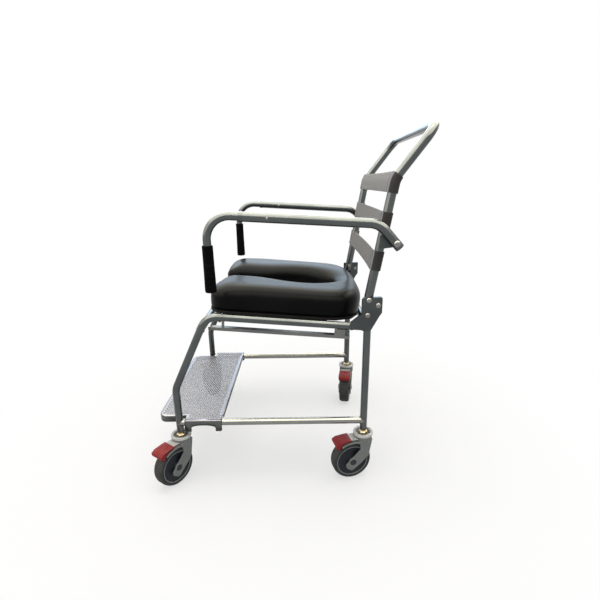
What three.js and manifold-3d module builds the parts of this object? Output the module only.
// A shower commode chair: a bent steel tube frame on four braked castors, with a moulded
// horseshoe seat, flip-up armrests, a strap back with a push handle and a sliding footplate.
// Millimetres. +X is the occupant's left, +Y is the rear, +Z is up, and the floor is at zero.
// Inside this file Y is measured from the middle of the wheelbase. The last lines move the
// whole chair so that its origin is on the floor under the middle of its bounding box.

import * as THREE from "three";
import { mergeVertices } from "three/addons/utils/BufferGeometryUtils.js";
import Module from "manifold-3d";

const wasm = await Module();
wasm.setup();

// General sizes
const gap = 0.3;
const overrun = 5;
const mergeDistance = 0.001;
const tubeSides = 12;
const roundSides = 12;
const headSides = 18;
const bendStep = THREE.MathUtils.degToRad(18);
const headTaperShare = 0.7;

// Frame tube and the four castor places
const tubeRadius = 11;
const tubeWall = 1.5;
const halfTrack = 258;
const halfWheelbase = 286;
const legBottom = 162;

// Side frame: front leg, leaning leg and seat rail are one bent tube
const kneeHeight = 309;
const kneeBend = 60;
const seatCornerSetback = 110;
const seatCornerHeight = 538;
const seatCornerBend = 50;
const seatTilt = THREE.MathUtils.degToRad(4.65);
const seatRailSetback = 40;
const rearLegRise = 14;
const lowerRailHeight = 193.5;
const frontCrossDrop = 41;
const rearCrossDrop = 44;

// Rear gusset plates and their bolts
const gussetThickness = 3;
const gussetFlange = 7.5;
const gussetFront = 19.4;
const gussetWidth = 57.4;
const gussetDrop = 45;
const gussetHeight = 100;
const gussetToe = 32;
const boltSides = 8;
const boltRadius = 3.9;
const boltHeadRadius = 7;
const boltHeadHeight = 4;
const nutRadius = 6.5;
const nutHeight = 5;
const upperBoltRise = 46;
const rearBoltRise = 30.8;
const rearBoltSetback = 26.6;
const lowerBoltRise = 2;
const lowerBoltSetback = -2.6;

// Back tube: two uprights, the handle slopes and the cross grip are one bent tube
const backTubeRadius = 12.7;
const backTubeWall = 1.6;
const uprightFootRise = 28;
const uprightFootSetback = -3.5;
const uprightLean = THREE.MathUtils.degToRad(10.04);
const uprightLength = 340;
const handleBend = 60;
const handleRise = THREE.MathUtils.degToRad(52.4);
const handleSlopeHeight = 131;
const handleCornerBend = 48;

// Back straps
const strapThickness = 2.5;
const strapClearance = 0.5;
const strapSpans = 10;
const strapSags = { top: 3, middle: 8, bottom: 6 };

// The lower and upper edge of each strap and the armrest pivot, as shares of the upright's length
const strapShares = { top: [0.894, 1.029], middle: [0.6, 0.753], bottom: [0.297, 0.45] };
const armPivotShare = 0.5265;

// Armrests
const armOffset = 42;
const armSleeveRadius = 12.7;
const armSleeveWall = 1.6;
const armTubeRadius = 10.8;
const armTubeWall = 1.5;
const armSlope = THREE.MathUtils.degToRad(3.3);
const armFrontPlace = -146;
const armFrontBend = 60;
const armRearBend = 60;
const armDropAngle = THREE.MathUtils.degToRad(48);
const armPivotDrop = 68.2;
const armPivotSetback = 60;
const armEndReach = 16;
const armCollarPlace = -62;
const armCollarWidth = 11;
const armCollarStep = 0.8;
const armOverlap = 102;
const armButtonPlace = 12;
const armButtonRadius = 3;
const armButtonHeight = 1.6;
const armTubeDrop = 188.2;
const gripTopDrop = 69.2;
const gripFootDrop = 194.2;
const gripTopRadius = 14.2;
const gripFootRadius = 15.5;
const gripFootEdge = 4;
const gripFloor = 4;

// Armrest pivots
const pivotPlateThickness = 4;
const pivotPlateHeight = 34;
const pivotEyeRadius = 14;
const pivotPinRadius = 5;
const pivotShoulderRadius = 9;
const pivotHeadHeight = 4;

// Seat: board and moulded cushion lie on the rails, in a frame tilted with them
const boardThickness = 6;
const boardOverhang = 1;
const boardInset = 2;
const lugLength = 26;
const lugDepth = 10;
const lugThickness = 10;
const cushionInset = 6;
const cushionFrontSetback = 107;
const cushionRearSetback = 4;
const cushionThickness = 74.5;
const cushionEdge = 42;
const cushionRim = 55;
const cushionUndercut = 8;
const cushionFrontEdge = 86;
const cushionFrontZone = 130;
const cushionBulgeShare = 0.42;
const cushionFrontCorner = 56;
const cushionRearPower = 4;
const apertureSetback = 194;
const apertureHalfWidth = 100;
const apertureLength = 113;
const channelHalfWidth = 58;
const channelNeck = 152;
const channelCorner = 44;

// Pan runners under the seat rails
const runnerInset = 53;
const runnerDrop = 60;
const runnerWeb = 10;
const runnerFlange = 40;
const runnerThickness = 2;
const runnerFrontSetback = 106;
const runnerRearSetback = 38;
const frontHangerSetback = 146;
const frontHangerWidth = 8;
const rearHangerSetback = 86;
const rearHangerWidth = 33;

// Footplate: one folded sheet that slides along the lower rails
const sheet = 1.5;
const footplateFrontReach = 71;
const footplateStep = 18;
const footplateRearSetback = 133;
const footplateInset = 18;
const footplateCorner = 26;
const footplateLip = 22;
const footplateRearLip = 12;
const footplateSideGap = 0.5;
const footFlangeBottom = 168;
const footFlangeArch = 189;
const footPadLength = 20;
const footArchSpring = 12;

// Castors
const wheelRadius = 62.5;
const wheelSides = 24;
const tyreHalfWidth = 19;
const tyreBore = 50;
const hubBore = 5.4;
const hubBossRadius = 12;
const hubBossHalfWidth = 20.5;
const hubDiscHalfWidth = 15;
const hubLipWidth = 3.6;
const hubRimShare = 0.9;
const axleRadius = 5;
const axleHeadRadius = 8.5;
const axleHeadHeight = 1.6;
const castorTrail = 40;
const forkInside = 21;
const forkThickness = 4.5;
const forkClearance = 3.2;
const forkRoof = 5.3;
const neckBottom = 96;
const headRadius = 28.2;
const headBottom = 119;
const headTop = 146;
const ringRadius = 31;
const ringBore = 22.5;
const ringTop = 154;
const headFloor = 143;
const stemRadius = 8.8;
const stemPinRadius = 6;
const stemNutRadius = 13.5;
const stemNutHeight = 12;
const stemLength = 48;
const pedalTongueHalfWidth = 11;
const pedalTongueInset = 8;
const pedalArmHalfWidth = 18.5;
const pedalHalfWidth = 23;
const pedalPadStart = 45;
const pedalRise = 2.7;
const pedalThickness = 3.4;
const pedalReach = 96;
const pedalPlay = 0.8;
const pedalTravelRoom = 2;
const pedalRear = 14;
const pocketPlay = 0.7;

// The way that each castor points at rest, in degrees from straight ahead
const castorTurns = { front_left: 55, front_right: -55, rear_left: 15, rear_right: 79 };

// Finishes
const steel = finish(0xaab0aa, 0.28, 1);
const darkSteel = finish(0x5d6462, 0.35, 1);
const brass = finish(0xb89a62, 0.35, 1);
const foam = finish(0x23262b, 0.55, 0);
const board = finish(0x17181a, 0.6, 0);
const webbing = finish(0x9c9a98, 0.7, 0);
const gripRubber = finish(0x101114, 0.75, 0);
const housingGrey = finish(0x767c7c, 0.5, 0);
const tyreGrey = finish(0x3a4044, 0.8, 0);
const hubGrey = finish(0x23282e, 0.6, 0);
const pedalRed = finish(0xa83a3a, 0.5, 0);

function finish(color, roughness, metalness) {
  return new THREE.MeshStandardMaterial({ color, roughness, metalness });
}

// Adds a named piece to a group.
function add(group, name, geometry, material) {
  const mesh = new THREE.Mesh(geometry, material);
  mesh.name = name;
  group.add(mesh);
  return mesh;
}

// Solids for joining and cutting
function toSolid(geometry) {
  const bare = geometry.index ? geometry.toNonIndexed() : geometry.clone();
  for (const name of Object.keys(bare.attributes)) {
    if (name !== "position") bare.deleteAttribute(name);
  }
  const merged = mergeVertices(bare, mergeDistance);
  return new wasm.Manifold(
    new wasm.Mesh({
      numProp: 3,
      vertProperties: new Float32Array(merged.attributes.position.array),
      triVerts: new Uint32Array(merged.index.array),
    }),
  );
}

function toGeometry(solid) {
  const mesh = solid.getMesh();
  const indexed = new THREE.BufferGeometry();
  const positions = new THREE.BufferAttribute(new Float32Array(mesh.vertProperties), mesh.numProp);
  indexed.setAttribute("position", positions);
  indexed.setIndex(new THREE.BufferAttribute(new Uint32Array(mesh.triVerts), 1));
  const flat = indexed.toNonIndexed();
  flat.computeVertexNormals();
  return flat;
}

function join(...geometries) {
  return toGeometry(geometries.map(toSolid).reduce((whole, piece) => whole.add(piece)));
}

function cut(geometry, ...tools) {
  return toGeometry(tools.map(toSolid).reduce((whole, tool) => whole.subtract(tool), toSolid(geometry)));
}

// Turns shape coordinates (a, b) with depth c into (c, a, b): a plate that stands in the YZ plane.
const sidewaysMatrix = new THREE.Matrix4().makeBasis(
  new THREE.Vector3(0, 1, 0),
  new THREE.Vector3(0, 0, 1),
  new THREE.Vector3(1, 0, 0),
);

function outlineShape(points) {
  return new THREE.Shape(points.map(([a, b]) => new THREE.Vector2(a, b)));
}

// A flat plate with its outline in XY, from one height to another.
function flatPlate(points, low, high) {
  const settings = { depth: high - low, bevelEnabled: false };
  return new THREE.ExtrudeGeometry(outlineShape(points), settings).translate(0, 0, low);
}

// A flat plate with its outline in YZ, from one X to another.
function sidePlate(points, low, high) {
  const settings = { depth: high - low, bevelEnabled: false };
  const plate = new THREE.ExtrudeGeometry(outlineShape(points), settings).translate(0, 0, low);
  return plate.applyMatrix4(sidewaysMatrix);
}

function block(x0, x1, y0, y1, z0, z1) {
  const size = new THREE.BoxGeometry(x1 - x0, y1 - y0, z1 - z0);
  return size.translate((x0 + x1) / 2, (y0 + y1) / 2, (z0 + z1) / 2);
}

// A turned piece about the Z axis, from its closed half profile of [radius, height] points.
function turned(points, sides) {
  const profile = points.map(([radius, height]) => new THREE.Vector2(radius, height));
  const phase = Math.PI / sides;
  return new THREE.LatheGeometry(profile, sides, phase).rotateX(Math.PI / 2);
}

// The same about an axis along X through (0, y, z): heights become X.
function turnedAcross(points, sides, y, z) {
  return turned(points, sides).rotateY(Math.PI / 2).translate(0, y, z);
}

// A round bar along X, used as a pin or as a drill.
function crossBar(radius, x0, x1, y, z, sides = boltSides) {
  const points = [[0, x0], [radius, x0], [radius, x1], [0, x1]];
  return turnedAcross(points, sides, y, z);
}

// Points and directions along straight runs that are joined by round bends.
function bentPath(corners, bends) {
  const places = corners.map((corner) => new THREE.Vector3(...corner));
  const path = [];
  const first = places[1].clone().sub(places[0]).normalize();
  path.push({ point: places[0], along: first });
  for (let i = 1; i < places.length - 1; i += 1) {
    const before = places[i].clone().sub(places[i - 1]).normalize();
    const after = places[i + 1].clone().sub(places[i]).normalize();
    const angle = before.angleTo(after);
    const radius = bends[i - 1];
    const start = places[i].clone().addScaledVector(before, -radius * Math.tan(angle / 2));
    const inward = after.clone().addScaledVector(before, -Math.cos(angle)).normalize();
    const steps = Math.max(1, Math.ceil(angle / bendStep));
    for (let k = 0; k <= steps; k += 1) {
      const turn = (angle * k) / steps;
      const point = start.clone().addScaledVector(before, radius * Math.sin(turn));
      point.addScaledVector(inward, radius * (1 - Math.cos(turn)));
      const along = before.clone().multiplyScalar(Math.cos(turn)).addScaledVector(inward, Math.sin(turn));
      path.push({ point, along });
    }
  }
  const last = places[places.length - 1];
  path.push({ point: last, along: last.clone().sub(places[places.length - 2]).normalize() });
  return path;
}

// An open-ended round tube along a path.
function tube(path, radius, wall, sides = tubeSides) {
  const positions = [];
  const indices = [];
  const inner = radius - wall;
  let across = new THREE.Vector3(1, 0, 0);
  if (Math.abs(across.dot(path[0].along)) > Math.SQRT1_2) across = new THREE.Vector3(0, 0, 1);
  for (const { point, along } of path) {
    across.addScaledVector(along, -across.dot(along)).normalize();
    const other = new THREE.Vector3().crossVectors(along, across);
    for (const size of [radius, inner]) {
      for (let k = 0; k < sides; k += 1) {
        const turn = ((k + 1 / 2) / sides) * 2 * Math.PI;
        const spot = point.clone().addScaledVector(across, size * Math.cos(turn));
        spot.addScaledVector(other, size * Math.sin(turn));
        positions.push(spot.x, spot.y, spot.z);
      }
    }
  }
  const ring = 2 * sides;
  const quad = (a, b, c, d) => indices.push(a, b, c, a, c, d);
  for (let i = 0; i < path.length - 1; i += 1) {
    for (let k = 0; k < sides; k += 1) {
      const next = (k + 1) % sides;
      const here = i * ring;
      const there = here + ring;
      quad(here + k, here + next, there + next, there + k);
      quad(here + sides + next, here + sides + k, there + sides + k, there + sides + next);
    }
  }
  const end = (path.length - 1) * ring;
  for (let k = 0; k < sides; k += 1) {
    const next = (k + 1) % sides;
    quad(k, sides + k, sides + next, next);
    quad(end + next, end + sides + next, end + sides + k, end + k);
  }
  const geometry = new THREE.BufferGeometry();
  geometry.setAttribute("position", new THREE.Float32BufferAttribute(positions, 3));
  geometry.setIndex(indices);
  geometry.computeVertexNormals();
  return geometry;
}

// An outline of [x, depth] points, with any holes, carried along a path in the YZ plane. The
// outline runs anticlockwise and the holes run clockwise.
function swept(outline, holes, path) {
  const toVectors = (line) => line.map(([x, depth]) => new THREE.Vector2(x, depth));
  const caps = THREE.ShapeUtils.triangulateShape(toVectors(outline), holes.map(toVectors));
  const lines = [outline, ...holes];
  const spots = lines.flat();
  const count = spots.length;
  const positions = [];
  const indices = [];
  for (const { point, along } of path) {
    for (const [x, depth] of spots) {
      positions.push(point.x + x, point.y + depth * along.z, point.z - depth * along.y);
    }
  }
  for (let i = 0; i < path.length - 1; i += 1) {
    let start = i * count;
    for (const line of lines) {
      for (let k = 0; k < line.length; k += 1) {
        const here = start + k;
        const next = start + ((k + 1) % line.length);
        indices.push(here, next, next + count, here, next + count, here + count);
      }
      start += line.length;
    }
  }
  const end = (path.length - 1) * count;
  for (const [p, q, r] of caps) indices.push(p, r, q, end + p, end + q, end + r);
  const geometry = new THREE.BufferGeometry();
  geometry.setAttribute("position", new THREE.Float32BufferAttribute(positions, 3));
  geometry.setIndex(indices);
  geometry.computeVertexNormals();
  return geometry;
}

// Points on an arc in a plane, from one angle to another.
function arc(centreA, centreB, radius, from, to, steps) {
  const points = [];
  for (let k = 0; k <= steps; k += 1) {
    const turn = from + ((to - from) * k) / steps;
    points.push([centreA + radius * Math.cos(turn), centreB + radius * Math.sin(turn)]);
  }
  return points;
}

// Heights that follow the seat corner
const rearLegTop = seatCornerHeight + rearLegRise;
const frontCrossHeight = seatCornerHeight - frontCrossDrop;
const rearCrossHeight = seatCornerHeight - rearCrossDrop;
const gussetBottom = seatCornerHeight - gussetDrop;
const upperBoltHeight = seatCornerHeight + upperBoltRise;
const uprightFoot = seatCornerHeight + uprightFootRise;
const handleBendHeight = uprightFoot + uprightLength;
const handleTopHeight = handleBendHeight + handleSlopeHeight;
const armPivotHeight = uprightFoot + armPivotShare * uprightLength;
const armHeight = armPivotHeight + armPivotDrop;
const gripTop = armHeight - gripTopDrop;
const gripFoot = armHeight - gripFootDrop;

// Places across the chair that follow the track
const armSpread = halfTrack + armOffset;
const cushionHalfWidth = halfTrack - cushionInset;
const runnerSpread = halfTrack - runnerInset;
const footplateHalfWidth = halfTrack - footplateInset;

// Places that several pieces share
const seatCorner = { y: -halfWheelbase + seatCornerSetback, z: seatCornerHeight };
const seatRailEnd = halfWheelbase - seatRailSetback;
const legInside = halfTrack - tubeRadius - gap;
const gussetInside = halfTrack + tubeRadius + gap;
const uprightX = halfTrack + tubeRadius - backTubeRadius;

function seatRailHeight(y) {
  return seatCorner.z - (y - seatCorner.y) * Math.tan(seatTilt);
}

function uprightPlace(z) {
  return halfWheelbase + uprightFootSetback + (z - uprightFoot) * Math.tan(uprightLean);
}

function armCentreHeight(y) {
  return armHeight - y * Math.tan(armSlope);
}

// The leaning leg runs from the knee to the front corner of the seat rail.
function leaningLegPlace(z) {
  const share = (z - kneeHeight) / (seatCorner.z - kneeHeight);
  return -halfWheelbase + share * (seatCorner.y + halfWheelbase);
}

const gussetBolts = {
  upper: { y: uprightPlace(upperBoltHeight), z: upperBoltHeight, inside: uprightX - backTubeRadius },
  rear: { y: halfWheelbase + rearBoltSetback, z: seatCorner.z + rearBoltRise, inside: gussetInside },
  lower: {
    y: halfWheelbase + lowerBoltSetback,
    z: seatCorner.z + lowerBoltRise,
    inside: halfTrack - tubeRadius,
  },
};

function boltHole({ y, z }) {
  return crossBar(boltRadius + gap, 0, gussetInside + gussetThickness + overrun, y, z);
}

// Frame of one side, drawn for the left
function sideFrame() {
  const path = bentPath(
    [
      [halfTrack, -halfWheelbase, legBottom],
      [halfTrack, -halfWheelbase, kneeHeight],
      [halfTrack, seatCorner.y, seatCorner.z],
      [halfTrack, seatRailEnd, seatRailHeight(seatRailEnd)],
    ],
    [kneeBend, seatCornerBend],
  );
  return tube(path, tubeRadius, tubeWall);
}

function rearLeg() {
  const path = bentPath([[halfTrack, halfWheelbase, legBottom], [halfTrack, halfWheelbase, rearLegTop]], []);
  return cut(tube(path, tubeRadius, tubeWall), boltHole(gussetBolts.lower));
}

function lowerRail() {
  const end = halfWheelbase - tubeRadius - gap;
  const path = bentPath([[halfTrack, -end, lowerRailHeight], [halfTrack, end, lowerRailHeight]], []);
  return tube(path, tubeRadius, tubeWall);
}

function crossTube(y, z) {
  return tube(bentPath([[-legInside, y, z], [legInside, y, z]], []), tubeRadius, tubeWall);
}

// Gusset outline from its front edge and its bottom, as shares of its width and height
const gussetShares = [
  [0, 0.5],
  [0, 0.98],
  [1, 1],
  [1, 0.54],
  [0.88, 0.44],
  [0.47, 0],
  [0.09, 0],
];

function gussetPlate() {
  const front = halfWheelbase - gussetFront;
  const outline = gussetShares.map(([a, b]) => [front + a * gussetWidth, gussetBottom + b * gussetHeight]);
  const toe = front - gussetToe;
  const toeLow = seatRailHeight(toe) - tubeRadius;
  const toeHigh = seatRailHeight(toe) + tubeRadius + gussetThickness;
  const archTop = (toeLow + seatRailHeight(toe)) / 2;
  outline.push([front - gussetToe / 4, archTop], [front - gussetToe / 2, archTop]);
  outline.push([toe, toeLow], [toe, toeHigh]);
  const plate = sidePlate(outline, gussetInside, gussetInside + gussetThickness);
  const flangeLine = [[toe, toeHigh], outline[0], outline[1]];
  const depth = gussetThickness;
  const flange = sidePlate(
    [
      flangeLine[0],
      [flangeLine[1][0] + depth, flangeLine[1][1] - depth / 2],
      [flangeLine[2][0] + depth, flangeLine[2][1]],
      flangeLine[2],
      flangeLine[1],
      [flangeLine[0][0], flangeLine[0][1] + depth],
    ],
    gussetInside - gussetFlange,
    gussetInside + gussetThickness,
  );
  return cut(join(plate, flange), ...Object.values(gussetBolts).map(boltHole));
}

function gussetBolt({ y, z, inside }) {
  const face = gussetInside + gussetThickness + gap;
  const nutFace = inside - gap;
  const points = [
    [0, nutFace - nutHeight],
    [nutRadius, nutFace - nutHeight],
    [nutRadius, nutFace],
    [boltRadius, nutFace],
    [boltRadius, face],
    [boltHeadRadius, face],
    [boltHeadRadius * headTaperShare, face + boltHeadHeight],
    [0, face + boltHeadHeight],
  ];
  return turnedAcross(points, boltSides, y, z);
}

// Corners of an upright and its handle slope, from the foot up
function uprightCorners(x) {
  const bendPlace = uprightPlace(handleBendHeight);
  const topPlace = bendPlace + (handleTopHeight - handleBendHeight) / Math.tan(handleRise);
  return [
    [x, uprightPlace(uprightFoot), uprightFoot],
    [x, bendPlace, handleBendHeight],
    [x, topPlace, handleTopHeight],
  ];
}

// Back tube with the push handle
function backTube() {
  const path = bentPath(
    [...uprightCorners(uprightX), ...uprightCorners(-uprightX).reverse()],
    [handleBend, handleCornerBend, handleCornerBend, handleBend],
  );
  const { y, z } = gussetBolts.upper;
  const drill = crossBar(boltRadius + gap, -gussetInside - overrun, gussetInside + overrun, y, z);
  return cut(tube(path, backTubeRadius, backTubeWall), drill);
}

// The middle of an upright between two heights, on either side of its bend or across it
function uprightPath(x, low, high) {
  const whole = bentPath(uprightCorners(x), [handleBend]);
  const at = (height) => {
    const next = whole.findIndex(({ point }) => point.z > height);
    const [below, above] = [whole[next - 1], whole[next]];
    const share = (height - below.point.z) / (above.point.z - below.point.z);
    return {
      point: below.point.clone().lerp(above.point, share),
      along: below.along.clone().lerp(above.along, share).normalize(),
    };
  };
  const between = whole.filter(({ point }) => point.z > low + gap && point.z < high - gap);
  return [at(low), ...between, at(high)];
}

// A strap is a band in front of the uprights with a loop round each of them.
function backStrap(low, high, sag) {
  const inner = backTubeRadius + strapClearance;
  const outer = inner + strapThickness;
  const meet = Math.asin(inner / outer);
  const reach = uprightX - outer * Math.cos(meet);
  const band = (half, depth) => {
    const line = [];
    for (let k = 1; k < strapSpans; k += 1) {
      const share = (2 * k) / strapSpans - 1;
      line.push([share * half, depth + sag * (1 - share * share)]);
    }
    return line;
  };
  const sides = roundSides + 2;
  const leftLoop = arc(uprightX, 0, outer, -Math.PI / 2, Math.PI + meet, sides);
  const rightLoop = arc(-uprightX, 0, outer, -meet, 1.5 * Math.PI, sides);
  const outline = [...band(uprightX, -outer), ...leftLoop, ...band(reach, -inner).reverse(), ...rightLoop];
  const holes = [-uprightX, uprightX].map((x) => arc(x, 0, inner, 2 * Math.PI, 0, sides).slice(1));
  return swept(outline, holes, uprightPath(0, low, high));
}

// Armrest of one side, drawn for the left
const armPivot = { y: halfWheelbase + armPivotSetback, z: armPivotHeight };

function armCorner() {
  // Where the straight run meets the line that drops to the pivot
  const fall = Math.tan(armDropAngle);
  const slope = Math.tan(armSlope);
  const y = (armPivot.z + fall * armPivot.y - armHeight) / (fall - slope);
  return [armSpread, y, armCentreHeight(y)];
}

function pivotDrill(low, high) {
  return crossBar(pivotPinRadius + 2 * gap, low, high, armPivot.y, armPivot.z, roundSides);
}

function armSleeve() {
  const reach = [armEndReach * Math.cos(armDropAngle), armEndReach * Math.sin(armDropAngle)];
  const path = bentPath(
    [
      [armSpread, armCollarPlace, armCentreHeight(armCollarPlace)],
      armCorner(),
      [armSpread, armPivot.y + reach[0], armPivot.z - reach[1]],
    ],
    [armRearBend],
  );
  const collarEnd = armCollarPlace + armCollarWidth;
  const collarPath = bentPath(
    [
      [armSpread, armCollarPlace, armCentreHeight(armCollarPlace)],
      [armSpread, collarEnd, armCentreHeight(collarEnd)],
    ],
    [],
  );
  const collar = tube(collarPath, armSleeveRadius + armCollarStep, armCollarStep + armSleeveWall / 2);
  const low = armSpread - armSleeveRadius - overrun;
  const high = armSpread + armSleeveRadius + overrun;
  return cut(
    join(tube(path, armSleeveRadius, armSleeveWall), collar),
    pivotDrill(low, high),
    crossBar(armButtonRadius + gap, low, high, armButtonPlace, armCentreHeight(armButtonPlace)),
  );
}

function armTube() {
  const rear = armCollarPlace + armOverlap;
  const path = bentPath(
    [
      [armSpread, rear, armCentreHeight(rear)],
      [armSpread, armFrontPlace, armCentreHeight(armFrontPlace)],
      [armSpread, armFrontPlace, armHeight - armTubeDrop],
    ],
    [armFrontBend],
  );
  const reach = armSleeveRadius + armButtonHeight;
  const button = [armButtonRadius, armSpread - reach, armSpread + reach, armButtonPlace];
  return join(tube(path, armTubeRadius, armTubeWall), crossBar(...button, armCentreHeight(armButtonPlace)));
}

function armGrip() {
  const bore = armTubeRadius + gap;
  const points = [
    [0, gripFoot],
    [gripFootRadius - gripFootEdge, gripFoot],
    [gripFootRadius, gripFoot + gripFootEdge],
    [gripTopRadius, gripTop],
    [bore, gripTop],
    [bore, gripFoot + gripFloor],
    [0, gripFoot + gripFloor],
  ];
  return turned(points, tubeSides).translate(armSpread, armFrontPlace, 0);
}

// The pivot plate stands on the outside of the upright and carries the armrest behind it.
function armBracket() {
  const foot = uprightPlace(armPivot.z);
  const low = armPivot.z - pivotPlateHeight / 2;
  const high = armPivot.z + pivotPlateHeight / 2;
  const nose = arc(armPivot.y, armPivot.z, pivotEyeRadius, -Math.PI / 2, Math.PI / 2, roundSides / 2);
  const outline = [[foot - backTubeRadius / 2, low], [foot + backTubeRadius / 2, low], ...nose];
  outline.push([foot + backTubeRadius / 2, high], [foot - backTubeRadius / 2, high]);
  const inner = halfTrack + tubeRadius + gap;
  const plate = sidePlate(outline, inner, inner + pivotPlateThickness);
  return cut(plate, pivotDrill(inner - overrun, armSpread));
}

function armPivotPin() {
  const plateOut = halfTrack + tubeRadius + gap + pivotPlateThickness;
  const plateIn = halfTrack + tubeRadius;
  const armIn = armSpread - armSleeveRadius - gap;
  const armOut = armSpread + armSleeveRadius + gap;
  const points = [
    [0, plateIn - pivotHeadHeight],
    [pivotShoulderRadius, plateIn - pivotHeadHeight],
    [pivotShoulderRadius, plateIn],
    [pivotPinRadius, plateIn],
    [pivotPinRadius, plateOut + gap],
    [pivotShoulderRadius, plateOut + gap],
    [pivotShoulderRadius, armIn],
    [pivotPinRadius, armIn],
    [pivotPinRadius, armOut],
    [pivotShoulderRadius, armOut],
    [pivotShoulderRadius * headTaperShare, armOut + pivotHeadHeight],
    [0, armOut + pivotHeadHeight],
  ];
  return turnedAcross(points, roundSides, armPivot.y, armPivot.z);
}

// Seat pieces are drawn in a frame whose Z is zero on the tops of the rails and whose Y runs
// along them from the middle of the wheelbase.
const railTop = seatRailHeight(0) + tubeRadius / Math.cos(seatTilt);
const seatFront = seatCorner.y - (cushionFrontSetback - seatCornerSetback);
const seatRear = halfWheelbase - cushionRearSetback;
const apertureCentre = halfWheelbase - apertureSetback;

function easeShare(share) {
  const held = THREE.MathUtils.clamp(share, 0, 1);
  return held * held * (3 - 2 * held);
}

// Half widths of the seat at a place between its front and the middle of the aperture.
function seatHalfWidths(y, plan) {
  const fromFront = y - plan.front;
  let outer = plan.halfWidth;
  if (fromFront < plan.corner) {
    const away = plan.corner - fromFront;
    outer += Math.sqrt(plan.corner ** 2 - away ** 2) - plan.corner;
  }
  const neck = easeShare((apertureCentre - y) / channelNeck);
  let inner = plan.aperture + (plan.channel - plan.aperture) * neck;
  if (fromFront < plan.channelCorner) {
    const away = plan.channelCorner - fromFront;
    inner += plan.channelCorner - Math.sqrt(plan.channelCorner ** 2 - away ** 2);
  }
  return { outer, inner };
}

// Outer and inner points of the seat on a ray from the middle of the aperture.
function seatRay(turn, plan) {
  const c = Math.cos(turn);
  const s = Math.sin(turn);
  const power = cushionRearPower;
  const wide = Math.abs(c) / plan.halfWidth;
  const long = s / (plan.rear - apertureCentre);
  const outer = (wide ** power + long ** power) ** (-1 / power);
  const inner = ((c / plan.aperture) ** 2 + (s / plan.apertureLength) ** 2) ** (-1 / 2);
  return [
    [outer * c, apertureCentre + outer * s],
    [inner * c, apertureCentre + inner * s],
  ];
}

const seatStationShares = [0, 0.01, 0.04, 0.09, 0.17, 0.3, 0.48, 0.64, 0.82];
const seatFanSteps = 16;

// Pairs of [outer, inner] points round the horseshoe, from the left front to the right front.
function seatSections(plan) {
  const length = apertureCentre - plan.front;
  const lobe = (side) =>
    seatStationShares.map((share) => {
      const y = plan.front + share * length;
      const { outer, inner } = seatHalfWidths(y, plan);
      return [
        [side * outer, y],
        [side * inner, y],
      ];
    });
  const fan = [];
  for (let k = 0; k <= seatFanSteps; k += 1) fan.push(seatRay((Math.PI * k) / seatFanSteps, plan));
  return [...lobe(1), ...fan, ...lobe(-1).reverse()];
}

function distanceToLine(point, line) {
  let least = Infinity;
  for (let i = 0; i < line.length - 1; i += 1) {
    const [ax, ay] = line[i];
    const dx = line[i + 1][0] - ax;
    const dy = line[i + 1][1] - ay;
    const length = dx * dx + dy * dy;
    const share = length === 0 ? 0 : ((point[0] - ax) * dx + (point[1] - ay) * dy) / length;
    const held = THREE.MathUtils.clamp(share, 0, 1);
    least = Math.min(least, Math.hypot(point[0] - ax - held * dx, point[1] - ay - held * dy));
  }
  return least;
}

// Height share of a quarter round that is complete at share 1.
function roundShare(share) {
  const held = THREE.MathUtils.clamp(share, 0, 1);
  return Math.sqrt(1 - (1 - held) ** 2);
}

const cushionAcrossShares = [0, 0.04, 0.12, 0.27, 0.5, 0.73, 0.88, 0.96, 1];

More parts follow.
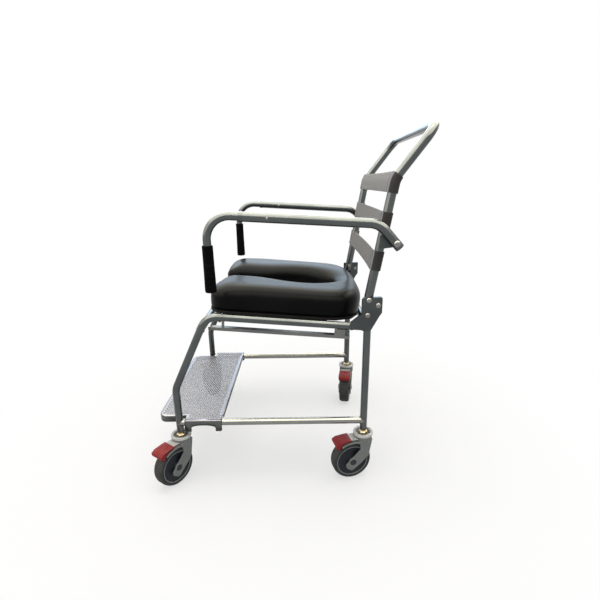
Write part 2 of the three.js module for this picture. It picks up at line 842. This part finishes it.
function seatCushion() {
  const plan = {
    front: seatFront,
    rear: seatRear,
    halfWidth: cushionHalfWidth,
    corner: cushionFrontCorner,
    aperture: apertureHalfWidth,
    apertureLength,
    channel: channelHalfWidth,
    channelCorner,
  };
  const sections = seatSections(plan);
  const outerLine = sections.map(([outer]) => outer);
  const innerLine = sections.map(([, inner]) => inner);
  const leftFront = [innerLine[0], ...outerLine.slice(0, seatStationShares.length)];
  const rightFront = [...outerLine.slice(-seatStationShares.length), innerLine[innerLine.length - 1]];
  const rim = [...leftFront, ...outerLine.slice(seatStationShares.length, -seatStationShares.length)];
  rim.push(...rightFront);
  const bottom = boardThickness + 2 * gap;
  const rows = cushionAcrossShares.length;
  const last = sections.length - 1;
  const positions = [];
  const indices = [];
  sections.forEach(([outer, inner], i) => {
    cushionAcrossShares.forEach((share, j) => {
      const spot = [outer[0] + (inner[0] - outer[0]) * share, outer[1] + (inner[1] - outer[1]) * share];
      const edge = i === 0 || i === last || j === 0 || j === rows - 1;
      const fromRim = edge ? 0 : distanceToLine(spot, rim);
      const fromHole = edge ? 0 : distanceToLine(spot, innerLine);
      const nearFront = easeShare(1 - (spot[1] - seatFront) / cushionFrontZone);
      const rounding = cushionEdge + (cushionFrontEdge - cushionEdge) * nearFront;
      const up = roundShare(fromRim / rounding) * roundShare(fromHole / cushionRim);
      const under = roundShare(fromRim / cushionUndercut) * roundShare(fromHole / cushionUndercut);
      const topShare = cushionBulgeShare + (1 - cushionBulgeShare) * up;
      positions.push(spot[0], spot[1], bottom + cushionThickness * topShare);
      positions.push(spot[0], spot[1], bottom + cushionThickness * cushionBulgeShare * (1 - under));
    });
  });
  const at = (i, j, side) => 2 * (i * rows + j) + side;
  for (let i = 0; i < last; i += 1) {
    for (let j = 0; j < rows - 1; j += 1) {
      indices.push(at(i, j, 0), at(i + 1, j, 0), at(i + 1, j + 1, 0));
      indices.push(at(i, j, 0), at(i + 1, j + 1, 0), at(i, j + 1, 0));
      indices.push(at(i, j, 1), at(i + 1, j + 1, 1), at(i + 1, j, 1));
      indices.push(at(i, j, 1), at(i, j + 1, 1), at(i + 1, j + 1, 1));
    }
  }
  const geometry = new THREE.BufferGeometry();
  geometry.setAttribute("position", new THREE.Float32BufferAttribute(positions, 3));
  geometry.setIndex(indices);
  return toGeometry(toSolid(geometry));
}

// The board under the cushion rests on the rails and drops a lug beside each end of them.
function seatBoard() {
  const halfWidth = halfTrack + boardOverhang;
  const plan = {
    front: seatFront + boardInset,
    rear: seatRear - boardInset,
    halfWidth,
    corner: cushionFrontCorner,
    aperture: apertureHalfWidth + boardInset,
    apertureLength: apertureLength + boardInset,
    channel: channelHalfWidth + boardInset,
    channelCorner,
  };
  const sections = seatSections(plan);
  const outline = [...sections.map(([outer]) => outer), ...sections.map(([, inner]) => inner).reverse()];
  const pieces = [flatPlate(outline, gap, gap + boardThickness)];
  const outer = halfTrack - tubeRadius - gap;
  for (const side of [-1, 1]) {
    for (const place of [seatFront + 3 * lugLength, apertureCentre + 2 * lugLength]) {
      const near = side * outer;
      const far = side * (outer - lugThickness);
      const sides = [Math.min(near, far), Math.max(near, far)];
      pieces.push(block(...sides, place, place + lugLength, -lugDepth, gap + boardThickness / 2));
    }
  }
  return join(...pieces);
}

// A pan runner is an angle that hangs from the seat rail on two straps, drawn for the left.
function panRunner() {
  const foot = -tubeRadius - runnerDrop;
  const front = -halfWheelbase + runnerFrontSetback;
  const rear = halfWheelbase - runnerRearSetback;
  const web = block(runnerSpread, runnerSpread + runnerThickness, front, rear, foot, foot + runnerWeb);
  const lip = block(
    runnerSpread - runnerFlange, runnerSpread + runnerThickness, front, rear, foot, foot + runnerThickness,
  );
  const under = -2 * tubeRadius - gap;
  const hanger = (place, width) => [
    block(runnerSpread, runnerSpread + runnerThickness, place, place + width, foot, under),
    block(runnerSpread, halfTrack + tubeRadius / 2, place, place + width, under - runnerThickness, under),
  ];
  return join(
    web,
    lip,
    ...hanger(-halfWheelbase + frontHangerSetback, frontHangerWidth),
    ...hanger(halfWheelbase - rearHangerSetback, rearHangerWidth),
  );
}

// Footplate: the sheet, its front lip, its rear lip and a flange outside each lower rail
function footplate() {
  const under = lowerRailHeight + tubeRadius + gap;
  const top = under + sheet;
  const front = -halfWheelbase - footplateFrontReach;
  const step = -halfWheelbase + footplateStep;
  const rear = -halfWheelbase + footplateRearSetback;
  const inside = halfTrack + tubeRadius + footplateSideGap;
  const outside = inside + sheet;
  const noseOutline = (inset, end) => {
    const half = footplateHalfWidth - inset;
    const radius = footplateCorner - inset;
    const left = arc(-half + radius, front + inset + radius, radius, Math.PI, 1.5 * Math.PI, 4);
    const right = arc(half - radius, front + inset + radius, radius, -Math.PI / 2, 0, 4);
    return [...left, ...right, [half, end], [-half, end]];
  };
  const nose = flatPlate(noseOutline(0, step + sheet), under, top);
  const shell = cut(
    flatPlate(noseOutline(0, step), top - footplateLip, under + sheet / 2),
    flatPlate(noseOutline(sheet, step + overrun), top - footplateLip - overrun, top + overrun),
  );
  const deck = block(-outside, outside, step, rear, under, top);
  const tailEnd = legInside - tubeRadius;
  const tail = block(-tailEnd, tailEnd, rear - sheet, rear, top - footplateRearLip, top);
  const midway = (step + rear) / 2;
  const springs = (rear - step) / 2 - footPadLength;
  const archShares = [1, 0.86, 0.6, 0.3, 0, -0.3, -0.6, -0.86, -1];
  const rise = footFlangeArch - footFlangeBottom - footArchSpring;
  const arch = archShares.map((share) => [
    midway + share * springs,
    footFlangeBottom + footArchSpring + rise * Math.sqrt(1 - share * share),
  ]);
  const flangeOutline = [
    [step, under + sheet / 2],
    [step, footFlangeBottom],
    [step + footPadLength, footFlangeBottom],
    ...arch.reverse(),
    [rear - footPadLength, footFlangeBottom],
    [rear, footFlangeBottom],
    [rear, under + sheet / 2],
  ];
  const flanges = [sidePlate(flangeOutline, inside, outside), sidePlate(flangeOutline, -outside, -inside)];
  return join(nose, shell, deck, tail, ...flanges);
}

// Castor pieces are drawn with the stem on the Z axis, the floor at zero and the wheel
// ahead of the stem, towards -Y.
const wheelY = -castorTrail;
const flatToCorner = 1 / Math.cos(Math.PI / wheelSides);
const wheelHeight = wheelRadius;

function tyre() {
  const crown = wheelRadius * flatToCorner;
  const edge = tyreHalfWidth;
  const depth = wheelRadius - tyreBore;
  const profileShares = [
    [0, -0.9], [0.55, -1], [1, -0.6], [1, 0.6], [0.55, 1], [0, 0.9], [0, -0.9],
  ];
  const points = profileShares.map(([up, side]) => [crown - depth * (1 - up), side * edge]);
  return turnedAcross(points, wheelSides, wheelY, wheelHeight);
}

function hub() {
  const rim = wheelRadius * flatToCorner - (wheelRadius - tyreBore) - gap;
  const lip = rim - hubLipWidth;
  const half = [
    [hubBore, hubBossHalfWidth],
    [hubBossRadius, hubBossHalfWidth],
    [lip, hubDiscHalfWidth],
    [lip, tyreHalfWidth * hubRimShare],
    [rim, tyreHalfWidth * hubRimShare],
  ];
  const mirrored = half.map(([radius, x]) => [radius, -x]);
  const points = [...mirrored, ...half.reverse(), mirrored[0]];
  return turnedAcross(points, wheelSides, wheelY, wheelHeight);
}

function axle() {
  const face = forkInside + forkThickness + gap;
  const points = [
    [0, -face - axleHeadHeight],
    [axleHeadRadius, -face - axleHeadHeight],
    [axleHeadRadius, -face],
    [axleRadius, -face],
    [axleRadius, face],
    [axleHeadRadius, face],
    [axleHeadRadius, face + axleHeadHeight],
    [0, face + axleHeadHeight],
  ];
  return turnedAcross(points, roundSides, wheelY, wheelHeight);
}

// Fork arm outline ahead of the stem and above the floor, as shares of the wheel radius
const forkArmShares = [
  [-0.36, 2.23], [-0.3, 1.87], [-0.24, 1.56], [-0.2, 1.26], [0.17, 0.89], [0.65, 0.51], [0.77, 0.53],
  [0.98, 0.7], [1.03, 0.89], [0.62, 1.29], [0.25, 1.67], [0.28, 1.86], [0.3, 2.1], [0.1, 2.23],
];

function forkHousing() {
  const armOutline = forkArmShares.map(([ahead, up]) => [-ahead * wheelRadius, up * wheelRadius]);
  const arms = [
    sidePlate(armOutline, forkInside, forkInside + forkThickness),
    sidePlate(armOutline, -forkInside - forkThickness, -forkInside),
  ];
  const width = forkInside + forkThickness;
  const neckOutline = armOutline.filter(([, up]) => up > neckBottom);
  const neck = sidePlate(neckOutline, -width, width);
  const roofInner = wheelRadius * flatToCorner + forkClearance;
  const roofOuter = roofInner + forkRoof;
  const rearTurn = THREE.MathUtils.degToRad(44);
  const frontTurn = THREE.MathUtils.degToRad(123);
  const steps = 8;
  const roof = sidePlate(
    [
      ...arc(wheelY, wheelHeight, roofOuter, rearTurn, frontTurn, steps),
      ...arc(wheelY, wheelHeight, roofInner - gap, frontTurn, rearTurn, steps),
    ],
    -width,
    width,
  );
  const head = turned(
    [
      [0, headBottom],
      [headRadius, headBottom],
      [headRadius, headTop],
      [ringRadius, headTop],
      [ringRadius, ringTop],
      [ringBore, ringTop],
      [ringBore, headFloor],
      [0, headFloor],
    ],
    headSides,
  );
  const wheelRoom = turnedAcross(
    [[0, -forkInside], [roofInner, -forkInside], [roofInner, forkInside], [0, forkInside]],
    wheelSides,
    wheelY,
    wheelHeight,
  );
  const bore = turned(
    [
      [0, neckBottom],
      [stemPinRadius + gap + gap / 2, neckBottom],
      [stemPinRadius + gap + gap / 2, headFloor + gap],
      [0, headFloor + gap],
    ],
    roundSides,
  );
  const pocketFloor = pedalFloor() - pocketPlay;
  const pocketRoof = pedalFloor() + pedalThickness + pocketPlay;
  const pocketHalf = pedalTongueHalfWidth + gap + pedalPlay / 2;
  const pocketRear = -headRadius + pedalTongueInset + pocketPlay;
  const pocket = block(-pocketHalf, pocketHalf, -2 * headRadius, pocketRear, pocketFloor, pocketRoof);
  const face = width + overrun;
  const axleHole = crossBar(axleRadius + 2 * gap, -face, face, wheelY, wheelHeight, roundSides);
  return cut(join(...arms, neck, roof, head), wheelRoom, bore, pocket, axleHole);
}

function stem() {
  const shankBottom = headFloor + gap + stemNutHeight;
  const pinBottom = headBottom;
  const pin = turned(
    [
      [0, pinBottom],
      [stemPinRadius, pinBottom],
      [stemPinRadius, shankBottom],
      [stemRadius, shankBottom],
      [stemRadius, shankBottom + stemLength],
      [0, shankBottom + stemLength],
    ],
    roundSides,
  );
  const nut = turned(
    [
      [0, headFloor + gap],
      [stemNutRadius, headFloor + gap],
      [stemNutRadius, shankBottom],
      [0, shankBottom],
    ],
    6,
  );
  return join(pin, nut);
}

// Underside of the pedal's flat part, just above the fork's roof
function pedalFloor() {
  return wheelHeight + wheelRadius * flatToCorner + forkClearance + forkRoof + pedalRise;
}

// Points of the pad ahead of the wheel's centre, as shares of its reach from there
const padOverRoofShares = [0.35, 0.53, 0.73];
const padOverTyreShares = [0.74, 0.79];
const padTopShares = [0.8, 0.4];

function brakePedal() {
  const floor = pedalFloor();
  const top = floor + pedalThickness;
  const roofOuter = wheelRadius * flatToCorner + forkClearance + forkRoof;
  const nearWheel = wheelRadius * flatToCorner + forkClearance + 2 * pedalPlay;
  const cap = pedalReach - castorTrail;
  const above = (share, radius, rise) => [
    -castorTrail - share * cap,
    wheelHeight + Math.sqrt(radius ** 2 - (share * cap) ** 2) + rise,
  ];
  const outline = [
    [-pedalPadStart, floor],
    ...padOverRoofShares.map((share) => above(share, roofOuter, pedalRise + pedalTravelRoom)),
    ...padOverTyreShares.map((share) => above(share, nearWheel, 0)),
    [-pedalReach + pedalThickness, floor - 6 * pedalThickness],
    [-pedalReach, floor - 4 * pedalThickness],
    [-pedalReach, floor - 2 * pedalThickness],
    [-castorTrail - cap * padTopShares[0], top - pedalThickness],
    [-castorTrail - cap * padTopShares[1], top - pedalThickness / 4],
    [-pedalPadStart, top],
  ];
  const pad = sidePlate(outline, -pedalHalfWidth, pedalHalfWidth);
  const armStart = -pedalPadStart - pedalThickness;
  const arm = block(-pedalArmHalfWidth, pedalArmHalfWidth, armStart, -pedalRear, floor, top);
  const clear = headRadius + pedalPlay;
  const room = turned(
    [[0, floor - overrun], [clear, floor - overrun], [clear, top + overrun], [0, top + overrun]],
    headSides,
  );
  const tongueEnd = -headRadius + pedalTongueInset;
  const tongue = block(-pedalTongueHalfWidth, pedalTongueHalfWidth, -clear - overrun, tongueEnd, floor, top);
  return join(cut(join(pad, arm), room), tongue);
}

// Assembly
const chair = new THREE.Group();

const frame = new THREE.Group();
chair.add(frame);
add(frame, "front_cross_tube", crossTube(leaningLegPlace(frontCrossHeight), frontCrossHeight), steel);
add(frame, "rear_cross_tube", crossTube(halfWheelbase, rearCrossHeight), steel);
add(frame, "back_handle_tube", backTube(), steel);
for (const [name, shares] of Object.entries(strapShares)) {
  const [low, high] = shares.map((share) => uprightFoot + share * uprightLength);
  add(frame, `back_strap_${name}`, backStrap(low, high, strapSags[name]), webbing);
}
add(frame, "footplate", footplate(), steel);

// The right-hand pieces are the left-hand ones mirrored.
for (const [side, sign] of [["left", 1], ["right", -1]]) {
  const half = new THREE.Group();
  half.scale.x = sign;
  frame.add(half);
  add(half, `${side}_side_frame`, sideFrame(), steel);
  add(half, `${side}_rear_leg`, rearLeg(), steel);
  add(half, `${side}_lower_rail`, lowerRail(), steel);
  add(half, `${side}_gusset`, gussetPlate(), darkSteel);
  for (const [place, bolt] of Object.entries(gussetBolts)) {
    add(half, `${side}_gusset_bolt_${place}`, gussetBolt(bolt), steel);
  }
  add(half, `${side}_arm_sleeve`, armSleeve(), steel);
  add(half, `${side}_arm_tube`, armTube(), steel);
  add(half, `${side}_arm_grip`, armGrip(), gripRubber);
  add(half, `${side}_arm_bracket`, armBracket(), darkSteel);
  add(half, `${side}_arm_pivot_pin`, armPivotPin(), steel);
  const tilted = new THREE.Group();
  tilted.position.z = railTop;
  tilted.rotation.x = -seatTilt;
  half.add(tilted);
  add(tilted, `${side}_pan_runner`, panRunner(), steel);
}

const seat = new THREE.Group();
seat.position.z = railTop;
seat.rotation.x = -seatTilt;
chair.add(seat);
add(seat, "seat_cushion", seatCushion(), foam);
add(seat, "seat_board", seatBoard(), board);

for (const [place, turn] of Object.entries(castorTurns)) {
  const castor = new THREE.Group();
  castor.position.x = place.endsWith("left") ? halfTrack : -halfTrack;
  castor.position.y = place.startsWith("front") ? -halfWheelbase : halfWheelbase;
  castor.rotation.z = THREE.MathUtils.degToRad(turn);
  chair.add(castor);
  add(castor, `${place}_castor_fork`, forkHousing(), housingGrey);
  add(castor, `${place}_castor_stem`, stem(), brass);
  add(castor, `${place}_castor_axle`, axle(), darkSteel);
  add(castor, `${place}_tyre`, tyre(), tyreGrey);
  add(castor, `${place}_hub`, hub(), hubGrey);
  add(castor, `${place}_brake_pedal`, brakePedal(), pedalRed);
}

// The origin goes to the floor under the middle of the bounding box.
chair.updateMatrixWorld(true);
const bounds = new THREE.Box3().setFromObject(chair, true);
const middle = bounds.getCenter(new THREE.Vector3());
chair.position.set(-middle.x, -middle.y, -bounds.min.z);

export default chair;
